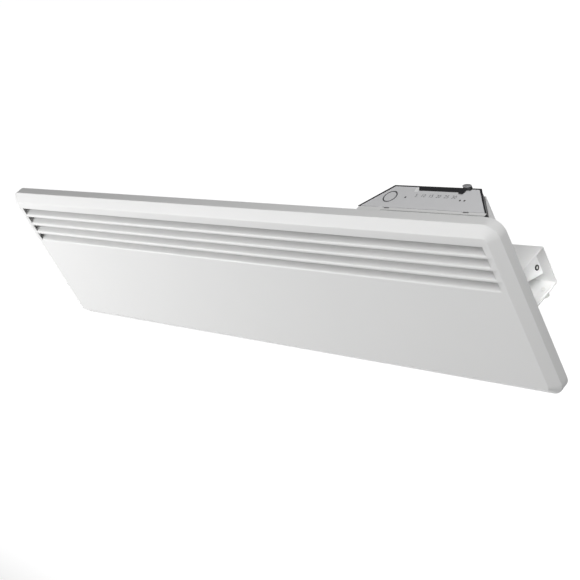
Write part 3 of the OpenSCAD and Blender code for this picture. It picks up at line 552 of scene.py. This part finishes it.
bmesh.ops.remove_doubles(skin, verts=skin.verts, dist=same_point)
bmesh.ops.recalc_face_normals(skin, faces=skin.faces)
if sum(f.normal.y * f.calc_area() for f in skin.faces) > 0:
    bmesh.ops.reverse_faces(skin, faces=skin.faces)
print("blades:", len(louvre_feet))

# %% Front panel: the sheet's thickness
sheet, press_radius, press_steps, press_angle = 0.9 * MM, 0.6 * MM, 4, 22
panel = finished("pressed_front", skin, powder, "heater", "front_panel")
round_edges(panel, press_radius, press_steps, press_angle)
wall = panel.modifiers.new("sheet", "SOLIDIFY")
wall.thickness = sheet
wall.offset = -1
wall.use_even_offset = True
shade_evenly(panel)

# %% [markdown]
# ## The wall bracket
# The bracket is one channel of thicker sheet. Its long folds get a larger radius than its cut
# edges, as the press leaves them. It has windows, where its end tabs are folded out, so its
# large faces are split into triangles first: a rounded face with a hole in it would overlap
# itself.

# %% Wall bracket
bracket_low, bracket_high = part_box("wall_bracket")
bracket_sheet, inner_fold, flange_z = 1.2 * MM, 0.4 * MM, -bracket_low.z
inner_z, cut_edge = flange_z - bracket_sheet, 0.18 * MM
softened_channel("wall_bracket", cut_edge, 2, 35, folds=[
    (bracket_high.y, -flange_z, bracket_sheet), (bracket_high.y, flange_z, bracket_sheet),
    (-bracket_sheet, -inner_z, inner_fold), (-bracket_sheet, inner_z, inner_fold)])

# %% [markdown]
# ## The other sheet and moulded pieces
# These solids already have the right outline, so each gets the copy with rounded edges: a
# narrow rounding on painted sheet, a wider one on plastic and rubber.

# %% Softened copies
# Node, width of the rounding in millimetres, its steps, and the angle it starts at.
for node, width, segments, angle in (
        ("rear_casing", 0.3, 2, 25), ("control_box", 0.25, 2, 25),
        ("locking_feet", 0.2, 2, 35), ("control_tub", 0.3, 3, 30),
        ("control_plate", 0.2, 2, 30), ("power_relay", 0.6, 3, 30),
        ("terminal_block", 0.6, 3, 40), ("thermal_cutout", 0.4, 2, 40),
        ("sensor_clip", 0.6, 3, 40), ("slider_carriage", 0.15, 2, 35),
        ("cable_grommet", 0.6, 4, 35), ("lead_grommet", 0.6, 4, 35),
        ("end_tab_bushes", 0.25, 3, 35), ("lock_screws", 0.2, 2, 50)):
    softened(node, width * MM, segments, angle)

# %% [markdown]
# ## Screws with a driver's cross
# The solids have plain heads. Here each head is grown again from its middle: the top is a disc
# filled round a cross-shaped hole, the hole's rim is pushed down for the recess, and the disc's
# rim goes down in rings to the shank. Places and sizes are read from the solids, one by one.

# %% Read the places of a node's separate solids
def islands(node):
    """The lowest and highest corner of every separate solid of a node."""
    shape = bmesh.new()
    shape.from_mesh(nodes[node].data)
    bmesh.ops.remove_doubles(shape, verts=shape.verts, dist=merge_within)
    seen, found = set(), []
    for start in shape.verts:
        if start in seen:
            continue
        seen.add(start)
        group, todo = [], [start]
        while todo:
            vert = todo.pop()
            group.append(vert.co.copy())
            for edge in vert.link_edges:
                other = edge.other_vert(vert)
                if other not in seen:
                    seen.add(other)
                    todo.append(other)
        found.append((Vector([min(c[i] for c in group) for i in range(3)]),
                      Vector([max(c[i] for c in group) for i in range(3)])))
    shape.free()
    return found


for node in ("casing_screws", "box_screws"):
    print(node, "solids:", len(islands(node)))

# %% Rings, and how they are pulled
def ring_of(shape, radius, z, count=32):
    """The edges of a new circle at this height."""
    made = bmesh.ops.create_circle(shape, segments=count, radius=radius,
                                   matrix=Matrix.Translation((0, 0, z)))
    return unique(e for v in made["verts"] for e in v.link_edges)


def pull(shape, edges, scale, up):
    """Extrudes a loop of edges, scales it about the axis and moves it along Z."""
    made = bmesh.ops.extrude_edge_only(shape, edges=edges)["geom"]
    verts = [g for g in made if isinstance(g, bmesh.types.BMVert)]
    bmesh.ops.scale(shape, verts=verts, vec=(scale, scale, 1))
    bmesh.ops.translate(shape, verts=verts, vec=(0, 0, up))
    return [g for g in made if isinstance(g, bmesh.types.BMEdge)
            and all(v in verts for v in g.verts)]


# Shares of a head's radius and height; each ring of the head's side has a scale and a step down.
# No two crosses stand alike: each is turned by its place along the panel, in radians a metre.
driver_turn = 37
top_share, arm_share, slot_share = 0.72, 0.52, 0.14
recess_scale, recess_share = 0.85, 0.6
head_rings = ((1.22, 0.14), (1.09, 0.2), (1.045, 0.26), (1.0, 0.4))
widest_share = top_share * math.prod(scale for scale, _ in head_rings)
print("a head's widest ring, as a share of its radius:", widest_share)

# %% Grow one screw
def cross_screw(shape, middle, head_r, head_h, shank_r, length):
    """Adds a screw to a bmesh: its head faces +Y, with its seat at the given middle."""
    one = bmesh.new()
    rim = ring_of(one, top_share * head_r, head_h)
    arm, half = arm_share * head_r, slot_share * head_r
    outline = [(half, arm), (-half, arm), (-half, half), (-arm, half), (-arm, -half),
               (-half, -half), (-half, -arm), (half, -arm), (half, -half), (arm, -half),
               (arm, half), (half, half)]
    points = [one.verts.new((x, y, head_h)) for x, y in outline]
    cross = [one.edges.new((points[i], points[i - 1])) for i in range(len(points))]
    bmesh.ops.triangle_fill(one, edges=rim + cross, use_beauty=True, normal=(0, 0, 1))
    inside = []
    for face in one.faces:
        near, far = sorted(abs(c) for c in face.calc_center_median().xy)
        if near < half and far < arm:
            inside.append(face)
    bmesh.ops.delete(one, geom=inside, context="FACES_ONLY")
    recess = pull(one, cross, recess_scale, -recess_share * head_h)
    bmesh.ops.triangle_fill(one, edges=recess, use_beauty=True)
    edges = rim
    for scale, down in head_rings:
        edges = pull(one, edges, scale, -down * head_h)
    edges = pull(one, edges, shank_r / (widest_share * head_r), 0)
    edges = pull(one, edges, 1.0, -length)
    bmesh.ops.holes_fill(one, edges=edges, sides=len(edges))
    bmesh.ops.recalc_face_normals(one, faces=one.faces)
    towards_wall = Matrix.Rotation(-math.pi / 2, 3, "X")
    as_driven = Matrix.Rotation(middle.x * driver_turn, 3, "Y")
    bmesh.ops.rotate(one, verts=one.verts, cent=(0, 0, 0), matrix=as_driven @ towards_wall)
    bmesh.ops.translate(one, verts=one.verts, vec=middle)
    mesh = bpy.data.meshes.new("one_screw")
    one.to_mesh(mesh)
    one.free()
    shape.from_mesh(mesh)
    bpy.data.meshes.remove(mesh)


# Node, the head's share of the screw's length, the shank's share of the head's radius.
for node, head_share, shank_share in (("casing_screws", 0.23, 0.51), ("box_screws", 0.28, 0.57)):
    screws = bmesh.new()
    for lo, hi in islands(node):
        length = hi.y - lo.y
        head_r, head_h = (hi.x - lo.x) / 2, length * head_share
        seat = Vector(((lo.x + hi.x) / 2, hi.y - head_h, (lo.z + hi.z) / 2))
        cross_screw(screws, seat, head_r, head_h, head_r * shank_share, length - head_h)
    finished(node + "_cross", screws, zinc_plate, "heater", node, smooth=False)

# %% [markdown]
# ## Knob cap
# The knob is a small oval button, domed on top, on a dark neck. The solid has a straight rim, so
# the button is grown from an oval loop: pulled up, drawn in step by step over the dome, closed.

# %% Knob cap
knob_low, knob_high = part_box("slider_knob")
knob_size, knob_middle = knob_high - knob_low, (knob_low + knob_high) / 2
# The oval at the cap's foot, as shares of the solid knob's length and width.
foot_long_share, foot_short_share = 0.92, 0.7568
# Each ring's scale, and its step up as a share of the cap's height.
dome_rings = ((1.065, 0.12), (1.02, 0.14), (1.0, 0.12), (0.98, 0.14), (0.93, 0.16),
              (0.86, 0.14), (0.72, 0.12), (0.5, 0.05))

cap = bmesh.new()
loop = ring_of(cap, 1.0, 0.0, 48)
bmesh.ops.scale(cap, verts=cap.verts, vec=(foot_long_share * knob_size.x / 2,
                                           foot_short_share * knob_size.y / 2, 1))
bmesh.ops.triangle_fill(cap, edges=loop, use_beauty=True)
for scale, up in dome_rings:
    loop = pull(cap, loop, scale, up * knob_size.z)
bmesh.ops.triangle_fill(cap, edges=loop, use_beauty=True)
bmesh.ops.recalc_face_normals(cap, faces=cap.faces)
bmesh.ops.translate(cap, verts=cap.verts, vec=(knob_middle.x, knob_middle.y, knob_low.z))
finished("knob_cap", cap, knob_moulding, "slider", "slider_knob")

# %% [markdown]
# ## Dark rim round the plate
# The plate lies in a dark gasket, which shows as a bold line round it. A sloping slab is drawn a
# little larger than the plate, just under its face, with a small round pip at the left tip.

# %% Plate gasket
plate_low, plate_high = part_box("control_plate")
tilt = math.radians(4.5)
rear_right = max(v.co.x for v in nodes["control_plate"].data.vertices
                 if v.co.y > plate_high.y - same_face)
rear_left = plate_low.x + 21.6 * MM
over_left, over_right, over_rear_right, over_rear = 4.4 * MM, 1.5 * MM, 0.8 * MM, 2.4 * MM
gasket_drop, gasket_h, gasket_round = 1.3 * MM, 0.8 * MM, 0.2 * MM
pip_low_r, pip_top_r, pip_h = 1.2 * MM, 1.0 * MM, 1.6 * MM
pip_left, pip_back, pip_down = 1.0 * MM, 0.4 * MM, 0.4 * MM
pip_middle = (plate_low.x - pip_left, plate_low.y + pip_back, high.z - pip_down)


def plate_z(y):
    """The height of the plate's upper face at this y."""
    return high.z + (y - plate_low.y) * math.tan(tilt)


gasket = bmesh.new()
outline = [(plate_low.x - over_left, plate_low.y), (plate_high.x + over_right, plate_low.y),
           (rear_right + over_rear_right, plate_high.y + over_rear),
           (rear_left, plate_high.y + over_rear)]
base = gasket.faces.new([gasket.verts.new((x, y, plate_z(y) - gasket_drop))
                         for x, y in outline])
grown = bmesh.ops.extrude_face_region(gasket, geom=[base])["geom"]
bmesh.ops.translate(gasket, verts=[g for g in grown if isinstance(g, bmesh.types.BMVert)],
                    vec=(0, 0, gasket_h))
pip = bmesh.ops.create_cone(gasket, cap_ends=True, segments=24, radius1=pip_low_r,
                            radius2=pip_top_r, depth=pip_h)
bmesh.ops.translate(gasket, verts=pip["verts"], vec=pip_middle)
bmesh.ops.recalc_face_normals(gasket, faces=gasket.faces)
rounded(finished("plate_gasket", gasket, dark_moulding, "heater"), gasket_round)

# %% [markdown]
# ## The seam before the control box
# Where the panel's folded edge meets the control box there is a hairline gap. Its shadow is
# painted: a thin grey strip lies in it, almost flush with the edge.

# %% Seam strip
seam_left, seam_right = plate_low.x + 29.2 * MM, plate_high.x + 2.8 * MM
seam_wide, seam_thick = 0.5 * MM, 0.2 * MM
seam_behind, seam_down = 0.8 * MM, 0.06 * MM
# The strip is painted shadow: grey where the gap holds only shade.
seam = bmesh.new()
bmesh.ops.create_cube(seam, size=1.0)
bmesh.ops.scale(seam, verts=seam.verts, vec=(seam_right - seam_left, seam_wide, seam_thick))
bmesh.ops.translate(seam, verts=seam.verts, vec=((seam_left + seam_right) / 2,
                                                 edge_y + seam_behind, high.z - seam_down))
finished("box_seam_shadow", seam, seam_shadow_grey, "heater", smooth=False)

# %% [markdown]
# ## Bush cores
# Each end tab carries a dark bush with a pale core. The solid is a plain ring, so a short white
# pin is set into its bore, a little below the ring's face.

# %% Bush cores
bush_low, bush_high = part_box("end_tab_bushes")
core_r, core_h, core_in, core_round = 1.45 * MM, 1.8 * MM, 1.2 * MM, 0.2 * MM
bush_middle = (bush_low + bush_high) / 2
for side, x in (("left", bush_low.x + core_in), ("right", bush_high.x - core_in)):
    core = bmesh.new()
    bmesh.ops.create_cone(core, cap_ends=True, segments=32, radius1=core_r, radius2=core_r,
                          depth=core_h)
    bmesh.ops.rotate(core, verts=core.verts, cent=(0, 0, 0),
                     matrix=Matrix.Rotation(math.pi / 2, 3, "Y"))
    bmesh.ops.translate(core, verts=core.verts, vec=(x, bush_middle.y, bush_middle.z))
    rounded(finished("bush_core_" + side, core, nylon_white, "bracket"), core_round)

# %% [markdown]
# ## Printed scale
# The scale is printed in dark ink: six plain numbers along the slider's slot and a plain ring
# at the plate's left. Text is made a mesh, laid on the plate's slope and lifted by the
# ink's thickness. Only plain numbers are drawn.

# %% Laying ink on the plate
ink_up, same_ink_point = 0.04 * MM, 1e-7


def on_plate(across, back):
    """The ink's place this far right of the plate's left tip and behind its front edge."""
    y = plate_low.y + back
    return plate_low.x + across, y, plate_z(y) + ink_up


def laid(shape, across, back):
    """Lays a flat shape, drawn round the origin, on the plate."""
    bmesh.ops.rotate(shape, verts=shape.verts, cent=(0, 0, 0),
                     matrix=Matrix.Rotation(tilt, 3, "X"))
    bmesh.ops.translate(shape, verts=shape.verts, vec=on_plate(across, back))


def face_up(shape):
    """Turns every face of a flat shape to the viewer."""
    bmesh.ops.recalc_face_normals(shape, faces=shape.faces)
    for face in shape.faces:
        if face.normal.z < 0:
            face.normal_flip()


def number(text, across, back, height):
    curve = bpy.data.curves.new("number", "FONT")
    curve.body = text
    curve.size = height
    curve.align_x = "CENTER"
    curve.align_y = "CENTER"
    holder = bpy.data.objects.new("number", curve)
    bpy.context.scene.collection.objects.link(holder)
    bpy.context.view_layer.update()
    mesh = holder.to_mesh()
    shape = bmesh.new()
    shape.from_mesh(mesh)
    holder.to_mesh_clear()
    bpy.data.objects.remove(holder)
    bmesh.ops.remove_doubles(shape, verts=shape.verts, dist=same_ink_point)
    face_up(shape)
    laid(shape, across, back)
    return finished("number_" + text, shape, ink_soft, "heater", smooth=False)


print("ink lies", ink_up, "m above the plate")

# %% Numbers
number_back, number_h = 17.8 * MM, 5.8 * MM
# How many millimetres each number stands right of the plate's left tip.
number_across = {5: 58.4, 10: 67.0, 15: 76.3, 20: 85.4, 25: 94.9, 30: 104.0}
for value, across in number_across.items():
    number(str(value), across * MM, number_back, number_h)

# %% Ring
mark_back, ring_across = 14.7 * MM, 27.6 * MM
ring_r, ring_inner_share = 7.9 * MM, 0.84
ring = bmesh.new()
bmesh.ops.create_circle(ring, segments=48, radius=ring_r)
inner = bmesh.ops.extrude_edge_only(ring, edges=ring.edges[:])["geom"]
bmesh.ops.scale(ring, verts=[g for g in inner if isinstance(g, bmesh.types.BMVert)],
                vec=(ring_inner_share, ring_inner_share, 1))
face_up(ring)
laid(ring, ring_across, mark_back)
finished("printed_ring", ring, ink_dark, "heater", smooth=False)

# %% [markdown]
# ## The slot's painted highlight, and a dot
# The slot in the plate ends in a slanted, cut face that catches the light. That light is a
# painted highlight: a single small flat face of bright white, laid on the plate beside the slot.
# Between the ring and the scale the last bit of ink is a small dot.

# %% Slot end
# Millimetres right of the plate's left tip and behind its front edge.
end_outline = [(54.4, 28.9), (51.2, 28.9), (52.0, 22.9), (56.6, 22.9), (56.8, 24.6)]
# A painted highlight: a flat bright face where the slot's cut end catches the light.
slot_end = bmesh.new()
slot_end.faces.new([slot_end.verts.new(on_plate(across * MM, back * MM))
                    for across, back in end_outline])
finished("slot_end_highlight", slot_end, slot_highlight_white, "heater", smooth=False)

# %% Dot
dot_across, dot_r = 46.9 * MM, 1.1 * MM
dot = bmesh.new()
bmesh.ops.create_circle(dot, cap_ends=True, segments=20, radius=dot_r)
laid(dot, dot_across, mark_back)
finished("printed_dot", dot, ink_dark, "heater", smooth=False)
